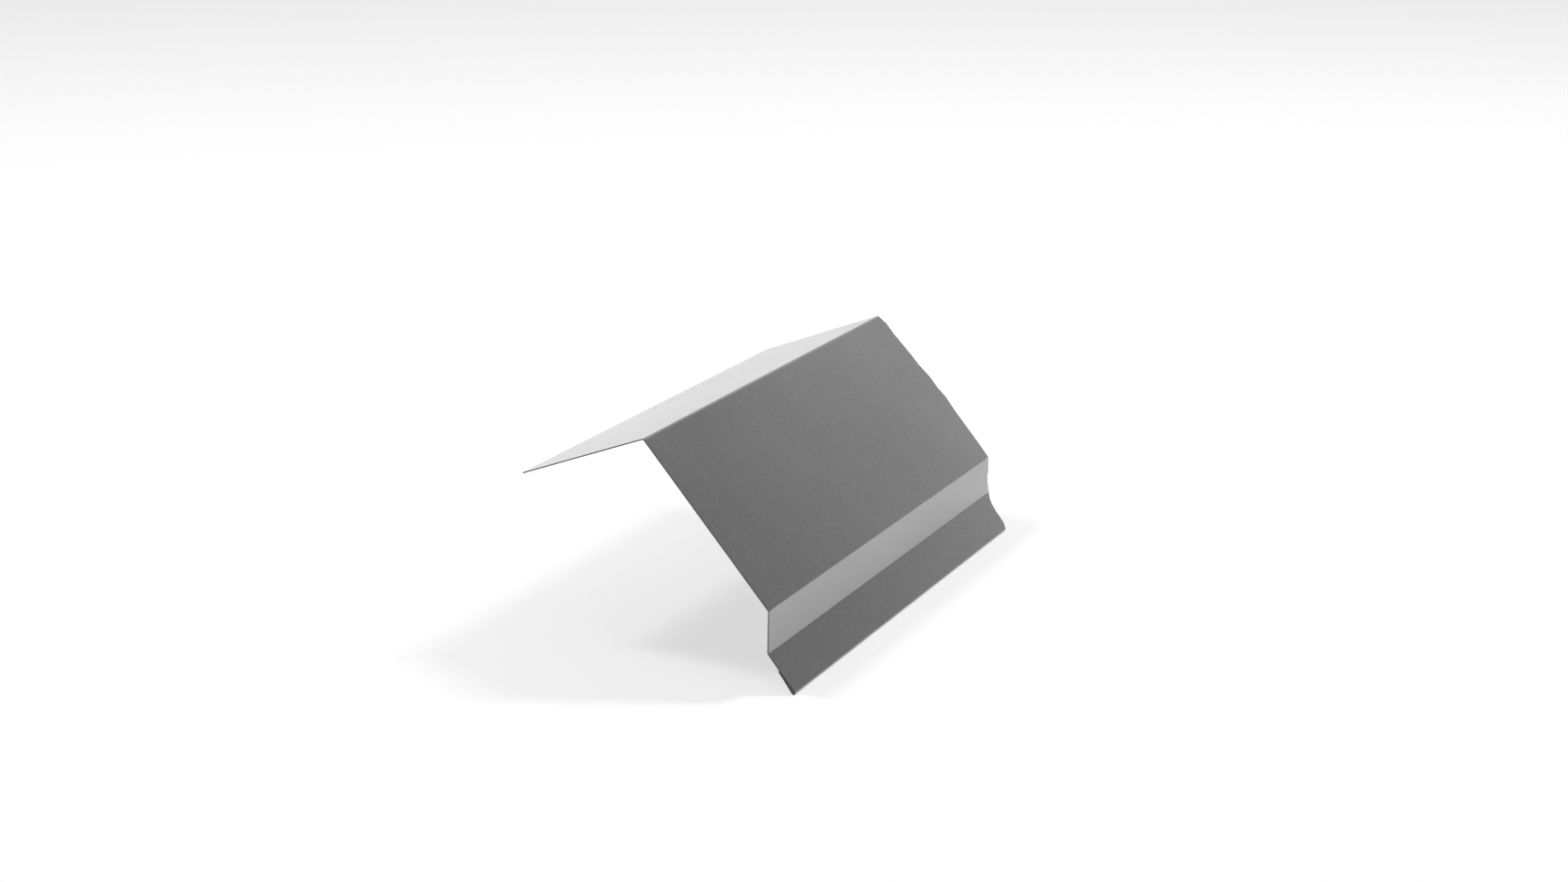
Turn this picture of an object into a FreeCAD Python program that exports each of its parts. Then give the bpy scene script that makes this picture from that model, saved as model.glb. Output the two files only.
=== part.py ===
import FreeCAD, Part
import math
import os

# Eave trim: one strip of coated sheet steel, folded along its length to cover the eave of a roof.
# Walking down its section, the roof flange lies on the deck, the apex turns over the eave, the face
# hangs in front of the fascia, a short step turns back, and the drip lip turns out again and ends
# in a hem, folded back behind it. The near end is the square cut of the factory. The far end was
# cut to length by hand, so it follows a row of short snips.
#
# Frame: +X runs along the trim, from the square end to the snipped end. +Z is up, with the roof
# flange falling towards +Y and the face looking down towards -Y. The origin is in the middle of
# the roof flange's underside, where the trim is nailed to the deck.

# The strip, in millimetres
SHEET = 0.6
LENGTH = 252.0

# Widths of the flats over the outside of the sheet, each to the sharp corners of its folds
ROOF_FLANGE = 78.0
FACE = 101.6
STEP = 22.0
LIP = 23.2

# Width of the hem, from the outside of its fold to its raw edge
HEM = 13.4

# How far each fold turns the sheet, in degrees
APEX_TURN = 70.0
STEP_TURN = 44.0
LIP_TURN = 42.0

# Radii on the inside of the folds
APEX_RADIUS = 1.2
FOLD_RADIUS = 0.6
HEM_RADIUS = 0.45

# Gap that the hem's raw edge keeps from the back of the lip
HEM_GAP = 0.1

# Fall of the roof flange from the apex towards its free edge, in degrees
ROOF_FALL = 22.7

# Depth that the hand-cut end wanders over, from the trim's full length
SNIP_DEPTH = 10.0

# The hand-cut end, as pairs: share of the flat's width, walking down the section from the roof
# flange's free edge, and set-back of the cut as a share of the depth
ROOF_SNIPS = ((0.0, 0.91), (0.12, 1.0), (0.34, 0.96), (0.72, 0.78), (1.0, 0.75))
FACE_SNIPS = ((0.0, 0.75), (0.05, 0.56), (0.12, 0.58), (0.27, 0.42), (0.35, 0.39), (0.44, 0.20),
              (0.52, 0.23), (0.58, 0.11), (0.68, 0.21), (0.92, 0.25), (1.0, 0.31))
STEP_SNIPS = ((0.0, 0.31), (0.38, 0.24), (0.5, 0.32), (0.72, 0.22), (1.0, 0.0))
LIP_SNIPS = ((0.0, 0.0), (0.12, 0.28), (0.26, 0.45), (0.5, 0.56), (0.85, 0.56), (1.0, 0.76))

HALF_TURN = 180.0
RIGHT_ANGLE = 90.0
ALONG = FreeCAD.Vector(1, 0, 0)
NEAR_X = -LENGTH / 2
NODE = "eave_trim"


def heading_vector(heading):
    """Unit vector in the section, at an angle in degrees from +Y towards +Z."""
    angle = math.radians(heading)
    return FreeCAD.Vector(0, math.cos(angle), math.sin(angle))


def towards_back(heading):
    """Unit vector from the painted side of the sheet to its back, on the left of the walk."""
    return heading_vector(heading + RIGHT_ANGLE)


def corner_share(turn, radius):
    """Width that a fold takes from the flat beside it, on the painted side of the sheet."""
    return radius * math.tan(math.radians(turn) / 2)


def far_x(set_back):
    """X of the hand-cut end, at a set-back given as a share of the depth."""
    return NEAR_X + LENGTH - set_back * SNIP_DEPTH


def set_back_at(snips, share):
    """Set-back of the cut at a share of a flat's width, on the straight snip between two pairs."""
    for (low, start), (high, end) in zip(snips, snips[1:]):
        if share <= high:
            return start + (end - start) * (share - low) / (high - low)
    return snips[-1][1]


def flat(corner, heading, width, snips):
    """A flat of the sheet, square at the near end and snipped at the far end."""
    down = heading_vector(heading)
    points = [corner + ALONG * NEAR_X, corner + down * width + ALONG * NEAR_X]
    for share, set_back in reversed(snips):
        points.append(corner + down * width * share + ALONG * far_x(set_back))
    outline = Part.makePolygon(points + points[:1])
    return Part.Face(outline).extrude(towards_back(heading) * SHEET)


def fold_axis(corner, heading, turn, radius):
    """Point that a fold turns about: behind the sheet for a turn to the back, in front otherwise."""
    reach = radius + SHEET if turn > 0 else -radius
    return corner + towards_back(heading) * reach


def fold(corner, heading, turn, radius, set_back):
    """A fold of the sheet: the edge of the flat before it, swung about the fold's axis."""
    near = corner + ALONG * NEAR_X
    far = corner + ALONG * far_x(set_back)
    through = towards_back(heading) * SHEET
    edge = Part.Face(Part.makePolygon([near, far, far + through, near + through, near]))
    return edge.revolve(fold_axis(corner, heading, turn, radius), ALONG, turn)


def past_fold(corner, heading, turn, radius):
    """The sheet's painted side where a fold ends and the next flat starts."""
    axis_point = fold_axis(corner, heading, turn, radius)
    return axis_point + FreeCAD.Rotation(ALONG, turn).multVec(corner - axis_point)


def hem_closing(width):
    """Degrees past a half turn that bring the hem's raw edge to its gap from the lip's back."""
    reach = math.hypot(HEM_RADIUS, width)
    lean = math.atan2(width, HEM_RADIUS)
    return math.degrees(math.acos((HEM_GAP - HEM_RADIUS) / reach) - lean)


def hem_snips(lip_width, hem_width):
    """The lip's cut again on the hem, as the snips went through both layers at once."""
    folded = []
    for share, set_back in reversed(LIP_SNIPS):
        from_fold = (1 - share) * lip_width
        if from_fold < hem_width:
            folded.append((from_fold / hem_width, set_back))
    folded.append((1.0, set_back_at(LIP_SNIPS, 1 - hem_width / lip_width)))
    return folded


def folded_strip():
    """Every flat and fold of the strip in order, from the roof flange's free edge to the hem."""
    apex = corner_share(APEX_TURN, APEX_RADIUS + SHEET)
    brow = corner_share(STEP_TURN, FOLD_RADIUS + SHEET)
    throat = corner_share(LIP_TURN, FOLD_RADIUS)
    hem_fold = HEM_RADIUS + SHEET
    hem_width = HEM - hem_fold
    lip_width = LIP - throat - hem_fold
    closing = hem_closing(hem_width)
    runs = (
        (ROOF_FLANGE - apex, ROOF_SNIPS, APEX_TURN, APEX_RADIUS),
        (FACE - apex - brow, FACE_SNIPS, STEP_TURN, FOLD_RADIUS),
        (STEP - brow - throat, STEP_SNIPS, -LIP_TURN, FOLD_RADIUS),
        (lip_width, LIP_SNIPS, HALF_TURN + closing, HEM_RADIUS),
    )
    heading = HALF_TURN - ROOF_FALL
    corner = heading_vector(heading) * -(runs[0][0] / 2) - towards_back(heading) * SHEET
    pieces = []
    for width, snips, turn, radius in runs:
        pieces.append(flat(corner, heading, width, snips))
        corner = corner + heading_vector(heading) * width
        pieces.append(fold(corner, heading, turn, radius, snips[-1][1]))
        corner = past_fold(corner, heading, turn, radius)
        heading = heading + turn
    pieces.append(flat(corner, heading, hem_width, hem_snips(lip_width, hem_width)))
    return pieces


def eave_trim():
    """The folded strip as one solid."""
    first, *others = folded_strip()
    return first.multiFuse(others).removeSplitter()


def main():
    os.makedirs("parts", exist_ok=True)
    trim = eave_trim()
    trim.exportStep(os.path.join("parts", NODE + ".step"))
    box = trim.BoundBox
    print(NODE, "solids", len(trim.Solids), "valid", trim.isValid(), "volume", round(trim.Volume, 1))
    print("low", round(box.XMin, 2), round(box.YMin, 2), round(box.ZMin, 2))
    print("high", round(box.XMax, 2), round(box.YMax, 2), round(box.ZMax, 2))


main()
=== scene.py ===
import logging
import math
from dataclasses import dataclass
from enum import Enum
from typing import Callable, ClassVar

import bmesh
import bpy
from mathutils import Matrix, Vector


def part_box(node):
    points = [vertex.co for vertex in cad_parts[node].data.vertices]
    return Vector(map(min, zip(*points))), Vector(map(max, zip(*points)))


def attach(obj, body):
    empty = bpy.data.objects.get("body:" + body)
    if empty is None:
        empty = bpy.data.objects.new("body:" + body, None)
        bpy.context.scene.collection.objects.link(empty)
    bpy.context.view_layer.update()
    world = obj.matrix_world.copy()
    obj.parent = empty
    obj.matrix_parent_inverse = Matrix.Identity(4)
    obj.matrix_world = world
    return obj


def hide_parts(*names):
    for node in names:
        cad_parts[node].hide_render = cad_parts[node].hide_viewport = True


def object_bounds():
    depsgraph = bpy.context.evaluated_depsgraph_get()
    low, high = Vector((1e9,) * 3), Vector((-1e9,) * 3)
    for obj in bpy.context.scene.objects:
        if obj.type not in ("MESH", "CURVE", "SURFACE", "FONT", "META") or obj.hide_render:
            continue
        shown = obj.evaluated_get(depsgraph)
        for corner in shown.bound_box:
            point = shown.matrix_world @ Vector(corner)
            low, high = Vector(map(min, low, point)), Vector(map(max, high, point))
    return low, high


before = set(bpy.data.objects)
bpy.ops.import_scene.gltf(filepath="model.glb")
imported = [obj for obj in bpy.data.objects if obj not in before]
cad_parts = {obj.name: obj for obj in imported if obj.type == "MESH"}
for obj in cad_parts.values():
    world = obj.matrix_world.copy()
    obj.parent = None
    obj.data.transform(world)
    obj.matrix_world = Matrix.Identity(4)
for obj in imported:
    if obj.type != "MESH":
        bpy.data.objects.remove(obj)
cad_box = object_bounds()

# Eave trim: one strip of coated sheet steel, folded along its length to cover the eave of a roof.
# The strip is drawn as a thin sheet on its painted side, row by row down its section, from the roof
# flange's free edge to the hem. It then gets its thickness towards the back. Sizes are in metres.

log = logging.getLogger("eave_trim")

Colour = tuple[float, float, float, float]
CutLine = tuple[tuple[float, float], ...]

MILLIMETRE = 0.001
HALF_TURN = 180.0
RIGHT_ANGLE = 90.0

# How near a vertex lies to the row that it belongs to, and how near two vertices are to be one
ROW_TOLERANCE = 0.01 * MILLIMETRE
MERGE_DISTANCE = 0.001 * MILLIMETRE


class Turn(Enum):
    """Which way a fold turns the sheet."""

    TO_BACK = 1
    TO_FRONT = -1


class Slot(Enum):
    """Place of each finish in the strip's list of materials."""

    TOP_COAT = 0
    BACKER_COAT = 1
    CUT_STEEL = 2


class Sway(Enum):
    """Which way smooth noise pushes the sheet, as the level of the noise that stays in place."""

    BOTH_WAYS = 0.5
    INWARDS = 1.0


def grey(level: float, blue: float = 0.0) -> Colour:
    """Give a grey, with a little more blue where asked."""
    return (level, level, level + blue, 1.0)


class Recipe:
    """A node tree under way, with short calls that add and join its nodes."""

    # Nearly all of a noise lies between these levels
    noise_span: ClassVar[tuple[float, float]] = (0.3, 0.7)

    def __init__(self, tree: bpy.types.NodeTree) -> None:
        """Start from an empty node tree.

        Args:
            tree: The tree, whose nodes are cleared.
        """
        self.tree = tree
        self.tree.nodes.clear()

    def add(
        self, kind: str, settings: dict[str, object] | None = None, **values: object
    ) -> bpy.types.Node:
        """Add a node.

        Args:
            kind: The node's type, as Blender names it.
            settings: Options of the node itself.
            **values: Values of its inputs, by name, with "_" in place of each space.

        Returns:
            The new node.
        """
        node = self.tree.nodes.new(kind)
        for name, value in (settings or {}).items():
            setattr(node, name, value)
        for name, value in values.items():
            node.inputs[name.replace("_", " ")].default_value = value
        return node

    def join(self, source: bpy.types.NodeSocket, target: bpy.types.NodeSocket) -> None:
        """Link an output to an input."""
        self.tree.links.new(source, target)

    def combine(
        self, first: bpy.types.NodeSocket, second: bpy.types.NodeSocket, rule: str
    ) -> bpy.types.NodeSocket:
        """Combine two values.

        Args:
            first: The first value.
            second: The second value.
            rule: The operation, as Blender names it.

        Returns:
            The result.
        """
        node = self.add("ShaderNodeMath", {"operation": rule})
        self.join(first, node.inputs[0])
        self.join(second, node.inputs[1])
        return node.outputs["Value"]

    def noise(self, place: bpy.types.NodeSocket, size: float, detail: float) -> bpy.types.NodeSocket:
        """Add noise whose blots are about a given size.

        Args:
            place: Output that gives the place on the piece.
            size: Size of the blots in metres.
            detail: Octaves of finer noise.

        Returns:
            The noise's value, around a half.
        """
        node = self.add("ShaderNodeTexNoise", Scale=1.0 / size, Detail=detail)
        self.join(place, node.inputs["Vector"])
        return node.outputs["Fac"]

    def spread(self, value: bpy.types.NodeSocket, low: float, high: float) -> bpy.types.NodeSocket:
        """Spread the middle of a noise over a range.

        Args:
            value: The noise's value.
            low: Result for the noise's darker blots.
            high: Result for its lighter blots.

        Returns:
            The value within the range.
        """
        return self.ramp(value, self.noise_span, (low, high), "LINEAR")

    def ramp(
        self, value: bpy.types.NodeSocket, span: tuple[float, float], ends: tuple[float, float], kind: str
    ) -> bpy.types.NodeSocket:
        """Map a span of a value onto a range.

        Args:
            value: The value.
            span: Where the range starts and stops.
            ends: Results at those two places.
            kind: The way between them, as Blender names it.

        Returns:
            The result, held at its ends outside the span.
        """
        node = self.add(
            "ShaderNodeMapRange", {"interpolation_type": kind},
            From_Min=span[0], From_Max=span[1], To_Min=ends[0], To_Max=ends[1],
        )
        self.join(value, node.inputs["Value"])
        return node.outputs["Result"]

    def tint(self, share: bpy.types.NodeSocket, low: Colour, high: Colour) -> bpy.types.NodeSocket:
        """Mix two colours by a value that changes over the surface.

        Args:
            share: The value, 0 for the first colour and 1 for the second.
            low: First colour.
            high: Second colour.

        Returns:
            The mixed colour.
        """
        node = self.add("ShaderNodeMix", {"data_type": "RGBA"})
        colours = [socket for socket in node.inputs if socket.type == "RGBA"]
        colours[0].default_value = low
        colours[1].default_value = high
        self.join(share, node.inputs["Factor"])
        return next(socket for socket in node.outputs if socket.type == "RGBA")


class Finish:
    """A finish of the sheet, which makes its own material."""

    name: ClassVar[str]

    def shade(self, recipe: Recipe, place: bpy.types.NodeSocket) -> bpy.types.Node:
        """Add the finish's own nodes.

        Args:
            recipe: The material under way.
            place: Output that gives the place on the piece.

        Returns:
            The shader.
        """
        raise NotImplementedError

    def material(self) -> bpy.types.Material:
        """Make the finish's material.

        Returns:
            The material.
        """
        material = bpy.data.materials.new(self.name)
        material.use_nodes = True
        recipe = Recipe(material.node_tree)
        shader = self.shade(recipe, recipe.add("ShaderNodeTexCoord").outputs["Object"])
        output = recipe.add("ShaderNodeOutputMaterial")
        recipe.join(shader.outputs["BSDF"], output.inputs["Surface"])
        return material


@dataclass(frozen=True)
class TopCoat(Finish):
    """Satin charcoal coat with a fine mineral speckle, baked on the painted side."""

    name: ClassVar[str] = "top_coat"

    # The pigment, duller and brighter by turns
    dark: Colour = grey(0.124, 0.002)
    light: Colour = grey(0.190, 0.002)
    metallic: float = 0.22
    index: float = 2.48
    dull: float = 0.212
    bright: float = 0.184

    # The clear film
    film_roughness: float = 0.26
    film_index: float = 1.5

    # The speckle, the clouds that take a share of its tint, and the grain that it raises
    speckle: float = 1.3 * MILLIMETRE
    speckle_detail: float = 3.0
    cloud: float = 60.0 * MILLIMETRE
    cloud_detail: float = 2.0
    cloud_share: float = 0.35
    grain_depth: float = 0.03 * MILLIMETRE
    grain_strength: float = 0.25

    def shade(self, recipe: Recipe, place: bpy.types.NodeSocket) -> bpy.types.Node:
        """Speckle the pigment, cloud it slightly and lay the clear film over it.

        Args:
            recipe: The material under way.
            place: Output that gives the place on the piece.

        Returns:
            The shader.
        """
        speckle = recipe.noise(place, self.speckle, self.speckle_detail)
        cloud = recipe.noise(place, self.cloud, self.cloud_detail)
        grain = recipe.spread(speckle, 0.0, 1.0 - self.cloud_share)
        share = recipe.combine(grain, recipe.spread(cloud, 0.0, self.cloud_share), "ADD")
        bump = recipe.add("ShaderNodeBump", Strength=self.grain_strength, Distance=self.grain_depth)
        recipe.join(speckle, bump.inputs["Height"])
        shader = recipe.add(
            "ShaderNodeBsdfPrincipled", Metallic=self.metallic, IOR=self.index,
            Coat_Weight=1.0, Coat_Roughness=self.film_roughness, Coat_IOR=self.film_index,
        )
        recipe.join(recipe.tint(share, self.dark, self.light), shader.inputs["Base Color"])
        recipe.join(recipe.spread(cloud, self.dull, self.bright), shader.inputs["Roughness"])
        recipe.join(bump.outputs["Normal"], shader.inputs["Normal"])
        return shader


@dataclass(frozen=True)
class BackerCoat(Finish):
    """Thin pale wash coat on the back of the sheet, rolled on along its length."""

    name: ClassVar[str] = "backer_coat"

    dark: Colour = grey(0.38)
    light: Colour = grey(0.44)
    roughness: float = 0.5
    index: float = 1.5
    streak: float = 20.0 * MILLIMETRE
    streak_detail: float = 4.0
    streak_stretch: float = 8.0

    def shade(self, recipe: Recipe, place: bpy.types.NodeSocket) -> bpy.types.Node:
        """Streak the wash along the sheet.

        Args:
            recipe: The material under way.
            place: Output that gives the place on the piece.

        Returns:
            The shader.
        """
        along = recipe.add("ShaderNodeMapping", Scale=(1.0 / self.streak_stretch, 1.0, 1.0))
        recipe.join(place, along.inputs["Vector"])
        streak = recipe.noise(along.outputs["Vector"], self.streak, self.streak_detail)
        shader = recipe.add("ShaderNodeBsdfPrincipled", Roughness=self.roughness, IOR=self.index)
        share = recipe.spread(streak, 0.0, 1.0)
        recipe.join(recipe.tint(share, self.dark, self.light), shader.inputs["Base Color"])
        return shader


@dataclass(frozen=True)
class CutSteel(Finish):
    """Bare steel of the cut edges, scored across by the shears, coloured near black as painted shade."""

    name: ClassVar[str] = "cut_steel"

    # Painted shade: the steel's colour is set near black, far darker than bare steel, to stand in for the
    # shade on edges that face away from the key lamp
    dark: Colour = grey(0.03)
    light: Colour = grey(0.09)
    metallic: float = 0.5
    roughness: float = 0.55
    index: float = 1.5
    score: float = 0.6 * MILLIMETRE
    score_detail: float = 4.0

    def shade(self, recipe: Recipe, place: bpy.types.NodeSocket) -> bpy.types.Node:
        """Score the steel.

        Args:
            recipe: The material under way.
            place: Output that gives the place on the piece.

        Returns:
            The shader.
        """
        shader = recipe.add(
            "ShaderNodeBsdfPrincipled", Metallic=self.metallic, Roughness=self.roughness, IOR=self.index
        )
        share = recipe.spread(recipe.noise(place, self.score, self.score_detail), 0.0, 1.0)
        recipe.join(recipe.tint(share, self.dark, self.light), shader.inputs["Base Color"])
        return shader


@dataclass(frozen=True)
class Stretch:
    """A flat of the section, with the line of its cut end and the fold that follows it.

    The width is true, without the folds' shares. The turn is in degrees, and the radius is on the
    inside of the fold. A stretch with no steps has no fold.
    """

    width: float
    snips: CutLine
    turn: float = 0.0
    way: Turn = Turn.TO_BACK
    radius: float = 0.0
    steps: int = 0


class SheetWalk:
    """A sheet drawn in edit mode, row by row down its section.

    The walk keeps the place of the sheet's free edge in the section, and the heading of its next
    flat in degrees from +Y towards +Z. The painted side is on the right of the walk.
    """

    def __init__(self, name: str, ends: tuple[float, float], place: Vector, heading: float) -> None:
        """Set out, with no sheet yet.

        Args:
            name: Name of the piece.
            ends: X of the square end and of the furthest point of the cut end.
            place: Place of the first edge in the section.
            heading: Heading of the first flat.
        """
        self.name = name
        self.near_x, self.far_x = ends
        self.place = place
        self.heading = heading
        self.piece: bpy.types.Object | None = None

    def down(self) -> Vector:
        """Unit vector down the section."""
        angle = math.radians(self.heading)
        return Vector((0.0, math.cos(angle), math.sin(angle)))

    def to_back(self) -> Vector:
        """Unit vector from the painted side to the back."""
        angle = math.radians(self.heading + RIGHT_ANGLE)
        return Vector((0.0, math.cos(angle), math.sin(angle)))

    def select(self, test: Callable[[Vector], bool]) -> None:
        """Select just the vertices whose places pass a test.

        Args:
            test: Tells from a vertex's place whether it is wanted.
        """
        shape = bmesh.from_edit_mesh(self.piece.data)
        for vertex in shape.verts:
            vertex.select = test(vertex.co)
        shape.select_flush_mode()
        bmesh.update_edit_mesh(self.piece.data)

    def on_free_edge(self, spot: Vector) -> bool:
        """Tell whether a vertex lies on the row at the present place in the section."""
        return math.hypot(spot.y - self.place.y, spot.z - self.place.z) < ROW_TOLERANCE

    def cut_back(self, distance: float) -> None:
        """Draw the far end of the free edge back, and leave the edge selected.

        Args:
            distance: How far back the end goes.
        """
        self.select(lambda spot: self.on_free_edge(spot) and spot.x > 0.0)
        bpy.ops.transform.translate(value=(-distance, 0.0, 0.0))
        self.select(self.on_free_edge)

    def first_row(self, width: float, set_back: float, change: float) -> None:
        """Lay the first row as a plane, at its size and slope.

        Args:
            width: Width of the row.
            set_back: Set-back of the cut where the row starts.
            change: How much more the cut is set back where the row ends.
        """
        middle = self.place + self.down() * (width / 2)
        slope = math.radians(self.heading - HALF_TURN)
        bpy.ops.object.select_all(action="DESELECT")
        bpy.ops.mesh.primitive_plane_add(
            size=1.0,
            location=((self.near_x + self.far_x) / 2, middle.y, middle.z),
            rotation=(slope, 0.0, 0.0),
        )
        self.piece = bpy.context.object
        self.piece.name = self.name
        self.piece.data.name = self.name
        self.piece.scale = (self.far_x - self.near_x, width, 1.0)
        bpy.ops.object.transform_apply(location=True, rotation=True, scale=True)
        bpy.ops.object.mode_set(mode="EDIT")
        bpy.ops.mesh.select_mode(type="VERT")
        self.cut_back(set_back)
        self.place = self.place + self.down() * width
        self.cut_back(set_back + change)

    def next_row(self, width: float, change: float) -> None:
        """Extrude the free edge by one row.

        Args:
            width: Width of the row.
            change: How much more the cut is set back where the row ends.
        """
        move = self.down() * width
        bpy.ops.mesh.extrude_region_move(TRANSFORM_OT_translate={"value": move})
        self.place = self.place + move
        self.cut_back(change)

    def swing(self, turn: float, reach: float, steps: int) -> None:
        """Fold the sheet, by spinning its free edge about an axis along the trim.

        Args:
            turn: Degrees of the fold, above 0 towards the back.
            reach: Distance from the painted side to the axis, above 0 towards the back.
            steps: Rows in the fold.
        """
        axis = self.place + self.to_back() * reach
        along = (-math.copysign(1.0, turn), 0.0, 0.0)
        bpy.ops.mesh.spin(steps=steps, angle=math.radians(abs(turn)), center=axis, axis=along)
        self.place = axis + Matrix.Rotation(math.radians(turn), 3, "X") @ (self.place - axis)
        self.heading += turn
        self.select(self.on_free_edge)

    def divide_along(self, cuts: int) -> None:
        """Cut every row into short lengths.

        Args:
            cuts: Cuts along each row.
        """
        shape = bmesh.from_edit_mesh(self.piece.data)
        bpy.ops.mesh.select_mode(type="EDGE")
        for edge in shape.edges:
            run = edge.verts[0].co - edge.verts[1].co
            edge.select_set(abs(run.x) > (self.far_x - self.near_x) / 2)
        bmesh.update_edit_mesh(self.piece.data)
        bpy.ops.mesh.subdivide(number_cuts=cuts)
        bpy.ops.mesh.select_mode(type="VERT")

    def end(self) -> bpy.types.Object:
        """Point every face to the painted side and leave edit mode.

        Returns:
            The sheet, still without thickness.
        """
        bpy.ops.mesh.select_all(action="SELECT")
        bpy.ops.mesh.remove_doubles(threshold=MERGE_DISTANCE)
        bpy.ops.mesh.normals_make_consistent(inside=False)
        shape = bmesh.from_edit_mesh(self.piece.data)
        first = max(shape.faces, key=lambda face: face.calc_center_median().y)
        if first.normal.z < 0.0:
            bpy.ops.mesh.flip_normals()
        bpy.ops.object.mode_set(mode="OBJECT")
        return self.piece


@dataclass
class EaveTrim:
    """The folded strip, from the roof flange's free edge down to the hem."""

    node: str = "eave_trim"
    name: str = "eave_trim_sheet"

    # Thickness of the sheet, and widths over its painted side to the sharp corners of the folds
    sheet: float = 0.6 * MILLIMETRE
    roof_flange: float = 78.0 * MILLIMETRE
    face: float = 101.6 * MILLIMETRE
    step: float = 22.0 * MILLIMETRE
    lip: float = 23.2 * MILLIMETRE
    hem: float = 13.4 * MILLIMETRE

    # Turns in degrees, inside radii, and the gap at the hem's raw edge
    roof_fall: float = 22.7
    apex_turn: float = 70.0
    step_turn: float = 44.0
    lip_turn: float = 42.0
    apex_radius: float = 1.2 * MILLIMETRE
    fold_radius: float = 0.6 * MILLIMETRE
    hem_radius: float = 0.45 * MILLIMETRE
    hem_gap: float = 0.1 * MILLIMETRE

    # The hand-cut end: share of the flat's width, and set-back as a share of the depth
    snip_depth: float = 10.0 * MILLIMETRE
    roof_snips: CutLine = ((0.0, 0.91), (0.12, 1.0), (0.34, 0.96), (0.72, 0.78), (1.0, 0.75))
    face_snips: CutLine = (
        (0.0, 0.75), (0.05, 0.56), (0.12, 0.58), (0.27, 0.42), (0.35, 0.39), (0.44, 0.20),
        (0.52, 0.23), (0.58, 0.11), (0.68, 0.21), (0.92, 0.25), (1.0, 0.31),
    )
    step_snips: CutLine = ((0.0, 0.31), (0.38, 0.24), (0.5, 0.32), (0.72, 0.22), (1.0, 0.0))
    lip_snips: CutLine = (
        (0.0, 0.0), (0.12, 0.28), (0.26, 0.45), (0.5, 0.56), (0.85, 0.56), (1.0, 0.76),
    )

    # How finely the sheet is divided
    row_pitch: float = 4.0 * MILLIMETRE
    cuts_along: int = 59
    apex_steps: int = 14
    fold_steps: int = 8
    hem_steps: int = 20

    # The small round that the shears leave on the edges, and the degrees from which a corner is
    # rounded and below which it is shaded smooth
    edge_round: float = 0.05 * MILLIMETRE
    edge_segments: int = 2
    round_from: float = 60.0
    smooth_below: float = 35.0
    flat_weight: int = 100

    # How far the flats bow, how unevenly the hem is pressed, and over what lengths
    bow: float = 0.05 * MILLIMETRE
    bow_length: float = 90.0 * MILLIMETRE
    flat_margin: float = 3.0 * MILLIMETRE
    flat_ramp: float = 18.0 * MILLIMETRE
    hem_press: float = 0.16 * MILLIMETRE
    hem_press_length: float = 22.0 * MILLIMETRE

    def ends(self) -> tuple[float, float]:
        """X of the square end and of the furthest point of the cut end, from the frame."""
        low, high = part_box(self.node)
        return low.x, high.x

    def stretches(self) -> list[Stretch]:
        """Work out the flats between the folds.

        Returns:
            The flats in order, each with its cut and the fold that follows it.
        """
        apex = self.corner_share(self.apex_turn, self.apex_radius + self.sheet)
        brow = self.corner_share(self.step_turn, self.fold_radius + self.sheet)
        throat = self.corner_share(self.lip_turn, self.fold_radius)
        hem_fold = self.hem_radius + self.sheet
        hem_width = self.hem - hem_fold
        lip_width = self.lip - throat - hem_fold
        closed = HALF_TURN + self.hem_closing(hem_width)
        back, front = Turn.TO_BACK, Turn.TO_FRONT
        return [
            Stretch(self.roof_flange - apex, self.roof_snips,
                    self.apex_turn, back, self.apex_radius, self.apex_steps),
            Stretch(self.face - apex - brow, self.face_snips,
                    self.step_turn, back, self.fold_radius, self.fold_steps),
            Stretch(self.step - brow - throat, self.step_snips,
                    self.lip_turn, front, self.fold_radius, self.fold_steps),
            Stretch(lip_width, self.lip_snips, closed, back, self.hem_radius, self.hem_steps),
            Stretch(hem_width, self.hem_snips(lip_width, hem_width)),
        ]

    @staticmethod
    def corner_share(turn: float, radius: float) -> float:
        """Width that a fold takes from the flat beside it."""
        return radius * math.tan(math.radians(turn) / 2)

    def hem_closing(self, width: float) -> float:
        """Work out how far past a half turn the hem is closed.

        Args:
            width: Width of the hem's flat.

        Returns:
            Degrees that bring the raw edge to its gap from the lip's back.
        """
        reach = math.hypot(self.hem_radius, width)
        lean = math.atan2(width, self.hem_radius)
        return math.degrees(math.acos((self.hem_gap - self.hem_radius) / reach) - lean)

    def hem_snips(self, lip_width: float, hem_width: float) -> CutLine:
        """Repeat the lip's cut on the hem, as the snips went through both layers at once.

        Args:
            lip_width: Width of the lip's flat.
            hem_width: Width of the hem's flat.

        Returns:
            The line of the hem's cut end.
        """
        folded = []
        for share, set_back in reversed(self.lip_snips):
            from_fold = (1 - share) * lip_width
            if from_fold < hem_width:
                folded.append((from_fold / hem_width, set_back))
        folded.append((1.0, self.set_back_at(self.lip_snips, 1 - hem_width / lip_width)))
        return tuple(folded)

    @staticmethod
    def set_back_at(snips: CutLine, share: float) -> float:
        """Read the set-back of a cut part of the way along it.

        Args:
            snips: The line of the cut.
            share: Share of the flat's width.

        Returns:
            The set-back, as a share of the depth.
        """
        for (low, start), (high, end) in zip(snips, snips[1:]):
            if share <= high:
                return start + (end - start) * (share - low) / (high - low)
        return snips[-1][1]

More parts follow.
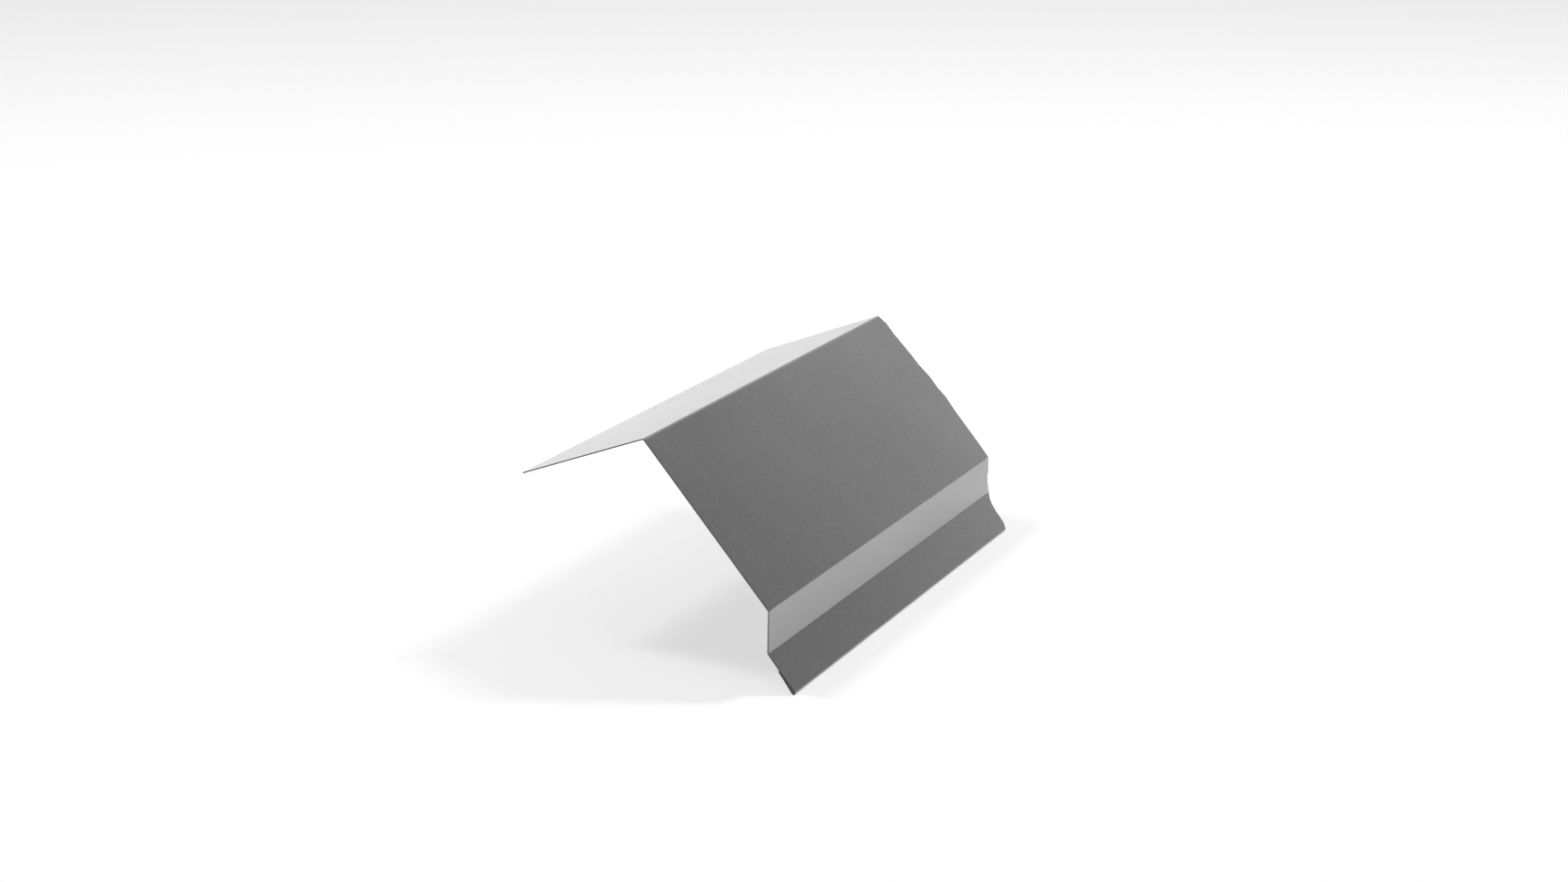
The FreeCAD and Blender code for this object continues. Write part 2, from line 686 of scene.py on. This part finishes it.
    def draw_flat(self, walk: SheetWalk, stretch: Stretch) -> None:
        """Draw a flat in narrow rows, with its far end cut along its snips.

        Args:
            walk: The sheet under way.
            stretch: The flat.
        """
        for (low, start), (high, end) in zip(stretch.snips, stretch.snips[1:]):
            span = (high - low) * stretch.width
            rows = max(1, round(span / self.row_pitch))
            change = (end - start) * self.snip_depth / rows
            for _ in range(rows):
                if walk.piece is None:
                    walk.first_row(span / rows, start * self.snip_depth, change)
                else:
                    walk.next_row(span / rows, change)

    def draw_fold(self, walk: SheetWalk, stretch: Stretch) -> None:
        """Fold the sheet after a flat.

        Args:
            walk: The sheet under way.
            stretch: The flat, with the fold that follows it.
        """
        reach = stretch.radius + self.sheet if stretch.way is Turn.TO_BACK else -stretch.radius
        walk.swing(stretch.turn * stretch.way.value, reach, stretch.steps)

    def draw(self) -> tuple[bpy.types.Object, list[Vector]]:
        """Draw the whole strip as a thin sheet.

        Returns:
            The sheet, and the places in the section where its flats start and stop.
        """
        stretches = self.stretches()
        walk = SheetWalk(self.name, self.ends(), Vector(), HALF_TURN - self.roof_fall)
        walk.place = walk.down() * -(stretches[0].width / 2) - walk.to_back() * self.sheet
        creases = [walk.place.copy()]
        for stretch in stretches:
            self.draw_flat(walk, stretch)
            creases.append(walk.place.copy())
            if stretch.steps:
                self.draw_fold(walk, stretch)
                creases.append(walk.place.copy())
        walk.divide_along(self.cuts_along)
        return walk.end(), creases

    def bow_flats(self, piece: bpy.types.Object, creases: list[Vector]) -> None:
        """Let the flats bow by a hair between their folds.

        Args:
            piece: The thin sheet.
            creases: Places in the section where the flats start and stop.
        """
        near_x, far_x = self.ends()
        flats = piece.vertex_groups.new(name="flats")
        for vertex in piece.data.vertices:
            spot = vertex.co
            room = min(math.hypot(spot.y - crease.y, spot.z - crease.z) for crease in creases)
            room = min(room, spot.x - near_x, far_x - self.snip_depth - spot.x)
            share = (room - self.flat_margin) / self.flat_ramp
            flats.add([vertex.index], max(0.0, min(1.0, share)), "REPLACE")
        self.wander(piece, "flats", self.bow, self.bow_length, Sway.BOTH_WAYS)

    def press_hem(self, piece: bpy.types.Object, creases: list[Vector]) -> None:
        """Press the hem's fold a little unevenly, inwards only.

        Args:
            piece: The thin sheet.
            creases: Places in the section where the flats start and stop, down to the hem's raw edge.
        """
        lip_start, start, end, _ = creases[-4:]
        middle = (start + end) / 2
        fold = piece.vertex_groups.new(name="hem_fold")
        for vertex in piece.data.vertices:
            spot = vertex.co
            beyond = (spot - middle).dot(start - lip_start) > 0.0
            near = math.hypot(spot.y - middle.y, spot.z - middle.z) < 2 * (self.hem_radius + self.sheet)
            fold.add([vertex.index], 1.0 if beyond and near else 0.0, "REPLACE")
        self.wander(piece, "hem_fold", self.hem_press, self.hem_press_length, Sway.INWARDS)

    def wander(
        self, piece: bpy.types.Object, group: str, depth: float, length: float, sway: Sway
    ) -> None:
        """Push a group of vertices along their normals by smooth noise.

        Args:
            piece: The thin sheet.
            group: The vertex group.
            depth: Distance between the noise's lowest and highest places.
            length: Length over which it rises and falls.
            sway: Which way the noise pushes.
        """
        noise = bpy.data.textures.new(group, type="CLOUDS")
        noise.noise_scale = length
        self.modify(piece, "DISPLACE", texture=noise, texture_coords="LOCAL", strength=depth,
                    mid_level=sway.value, vertex_group=group)

    def thicken(self, piece: bpy.types.Object) -> None:
        """Give the sheet its thickness, round its cut edges and smooth its folds.

        Args:
            piece: The thin sheet.
        """
        self.modify(piece, "SOLIDIFY", thickness=self.sheet, offset=-1.0, use_even_offset=True,
                    material_offset=Slot.BACKER_COAT.value, material_offset_rim=Slot.CUT_STEEL.value)
        self.modify(piece, "BEVEL", width=self.edge_round, segments=self.edge_segments,
                    limit_method="ANGLE", angle_limit=math.radians(self.round_from))
        bpy.ops.object.shade_smooth_by_angle(angle=math.radians(self.smooth_below))
        self.modify(piece, "WEIGHTED_NORMAL", mode="FACE_AREA", weight=self.flat_weight, keep_sharp=True)

    @staticmethod
    def modify(piece: bpy.types.Object, kind: str, **settings: object) -> None:
        """Add a modifier to a piece and apply it.

        Args:
            piece: The piece.
            kind: The modifier's type, as Blender names it.
            **settings: Its options.
        """
        modifier = piece.modifiers.new(kind.lower(), kind)
        for name, value in settings.items():
            setattr(modifier, name, value)
        bpy.ops.object.modifier_apply(modifier=modifier.name)

    @staticmethod
    def dress(piece: bpy.types.Object) -> None:
        """Give the strip its finishes, in the order of their slots.

        Args:
            piece: The thin sheet.
        """
        finishes = {Slot.TOP_COAT: TopCoat(), Slot.BACKER_COAT: BackerCoat(), Slot.CUT_STEEL: CutSteel()}
        for slot in Slot:
            piece.data.materials.append(finishes[slot].material())

    def build(self) -> bpy.types.Object:
        """Make the strip and put it in the place of the plain node.

        Returns:
            The finished piece.
        """
        piece, creases = self.draw()
        self.dress(piece)
        self.bow_flats(piece, creases)
        self.press_hem(piece, creases)
        self.thicken(piece)
        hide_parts(self.node)
        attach(piece, "root")
        return piece


@dataclass(frozen=True)
class Floor:
    """Plain white floor under the trim's lowest line, which keeps the trim's shadow."""

    size: float = 16.0
    shade: Colour = grey(0.92)
    shadow_share: float = 0.41

    def build(self) -> bpy.types.Object:
        """Lay the floor.

        Returns:
            The floor.
        """
        bpy.ops.object.select_all(action="DESELECT")
        bpy.ops.mesh.primitive_plane_add(size=self.size, location=(0.0, 0.0, cad_box[0].z))
        floor = bpy.context.object
        floor.name = "floor"
        floor.data.materials.append(self.material())
        return floor

    def material(self) -> bpy.types.Material:
        """Make the floor matt, and nearly white in itself to the camera and to gloss.

        Returns:
            The material.
        """
        material = bpy.data.materials.new("floor_white")
        material.use_nodes = True
        recipe = Recipe(material.node_tree)
        paths = recipe.add("ShaderNodeLightPath")
        seen = recipe.combine(paths.outputs["Is Camera Ray"], paths.outputs["Is Glossy Ray"], "MAXIMUM")
        own = recipe.ramp(seen, (0.0, 1.0), (0.0, 1.0 - self.shadow_share), "LINEAR")
        matt = recipe.add("ShaderNodeBsdfDiffuse", Color=self.shade)
        white = recipe.add("ShaderNodeEmission", Color=grey(1.0), Strength=1.0)
        mix = recipe.add("ShaderNodeMixShader")
        recipe.join(own, mix.inputs[0])
        recipe.join(matt.outputs["BSDF"], mix.inputs[1])
        recipe.join(white.outputs["Emission"], mix.inputs[2])
        output = recipe.add("ShaderNodeOutputMaterial")
        recipe.join(mix.outputs["Shader"], output.inputs["Surface"])
        return material


@dataclass(frozen=True)
class SoftLamp:
    """An oval soft lamp, longer across the view, which isn't itself mirrored in the coat."""

    name: str
    direction: tuple[float, float, float]
    distance: float
    length: float
    width: float
    power: float

    # The view's own left to right
    across: ClassVar[tuple[float, float, float]] = (0.493, -0.870, 0.0)

    def build(self) -> bpy.types.Object:
        """Hang the lamp, facing the trim.

        Returns:
            The lamp.
        """
        away = Vector(self.direction).normalized()
        across = Vector(self.across)
        across = (across - away * across.dot(away)).normalized()
        turn = Matrix((across, away.cross(across), away)).transposed().to_euler()
        bpy.ops.object.light_add(type="AREA", location=away * self.distance, rotation=turn)
        lamp = bpy.context.object
        lamp.name = self.name
        lamp.data.shape = "ELLIPSE"
        lamp.data.size = self.length
        lamp.data.size_y = self.width
        lamp.data.energy = self.power
        lamp.visible_glossy = False
        return lamp


@dataclass(frozen=True)
class StudioAir:
    """Light from all round: white at the horizon and on the backdrop's side, dimmer above."""

    # Light at the foot and from the top up, whose heights are sines of the elevation
    horizon: float = 0.622
    ceiling: float = 0.15
    foot: float = 0.0
    top: float = 0.457

    # Way to the backdrop, cosines at its edge and half across its blur, and its own light
    backdrop: tuple[float, float, float] = (0.87, 0.493, 0.0)
    backdrop_edge: float = 0.55
    backdrop_blur: float = 0.06
    backdrop_light: float = 0.548

    def build(self) -> bpy.types.World:
        """Make the world, which the camera itself sees as plain white.

        Returns:
            The world.
        """
        world = bpy.data.worlds.new("studio")
        bpy.context.scene.world = world
        world.use_nodes = True
        recipe = Recipe(world.node_tree)
        way = recipe.add("ShaderNodeTexCoord").outputs["Generated"]
        parts = recipe.add("ShaderNodeSeparateXYZ")
        recipe.join(way, parts.inputs["Vector"])
        rise = recipe.ramp(
            parts.outputs["Z"], (self.foot, self.top), (self.horizon, self.ceiling), "SMOOTHSTEP"
        )
        facing = recipe.add("ShaderNodeVectorMath", {"operation": "DOT_PRODUCT"})
        facing.inputs[1].default_value = self.backdrop
        recipe.join(way, facing.inputs[0])
        span = (self.backdrop_edge - self.backdrop_blur, self.backdrop_edge + self.backdrop_blur)
        side = recipe.ramp(facing.outputs["Value"], span, (0.0, self.backdrop_light), "SMOOTHSTEP")
        level = recipe.add("ShaderNodeClamp")
        recipe.join(recipe.combine(rise, side, "ADD"), level.inputs["Value"])
        light = recipe.add("ShaderNodeBackground", Color=grey(1.0))
        recipe.join(level.outputs["Result"], light.inputs["Strength"])
        white = recipe.add("ShaderNodeBackground", Color=grey(1.0), Strength=1.0)
        paths = recipe.add("ShaderNodeLightPath")
        mix = recipe.add("ShaderNodeMixShader")
        recipe.join(paths.outputs["Is Camera Ray"], mix.inputs[0])
        recipe.join(light.outputs["Background"], mix.inputs[1])
        recipe.join(white.outputs["Background"], mix.inputs[2])
        output = recipe.add("ShaderNodeOutputWorld")
        recipe.join(mix.outputs["Shader"], output.inputs["Surface"])
        return world


@dataclass(frozen=True)
class Viewpoint:
    """The camera's place and aim, in front of the trim's square end and above it."""

    place: tuple[float, float, float] = (-0.94401, -0.57700, 0.35566)
    azimuth: float = -60.452
    elevation: float = -19.223
    lens: float = 50.0
    sensor_width: float = 36.0

    def build(self) -> bpy.types.Object:
        """Add the camera and make it the scene's own.

        Returns:
            The camera.
        """
        turn = (math.radians(RIGHT_ANGLE + self.elevation), 0.0, math.radians(self.azimuth))
        bpy.ops.object.camera_add(location=self.place, rotation=turn)
        camera = bpy.context.object
        camera.name = "camera"
        camera.data.lens = self.lens
        camera.data.sensor_width = self.sensor_width
        camera.data.sensor_fit = "HORIZONTAL"
        bpy.context.scene.camera = camera
        return camera


# The key stands high on the right, the fill high on the left, and the last hangs over the trim
LAMPS = (
    SoftLamp("key_lamp", (0.61, -0.39, 1.0), distance=2.5, length=0.85, width=0.3, power=33.0),
    SoftLamp("fill_lamp", (-0.18, 0.73, 1.0), distance=2.5, length=0.6, width=0.25, power=27.0),
    SoftLamp("ceiling_lamp", (0.0, 0.0, 1.0), distance=3.0, length=3.0, width=3.0, power=21.4),
)


def main() -> None:
    """Build the trim, the studio and the camera."""
    logging.basicConfig(level=logging.INFO, format="%(message)s")
    trim = EaveTrim().build()
    log.info("%s: %d faces", trim.name, len(trim.data.polygons))
    for part in (Floor(), *LAMPS, StudioAir(), Viewpoint()):
        log.info("%s: set", part.build().name)
    bpy.context.scene.view_settings.view_transform = "Standard"


if __name__ == "__main__":
    main()
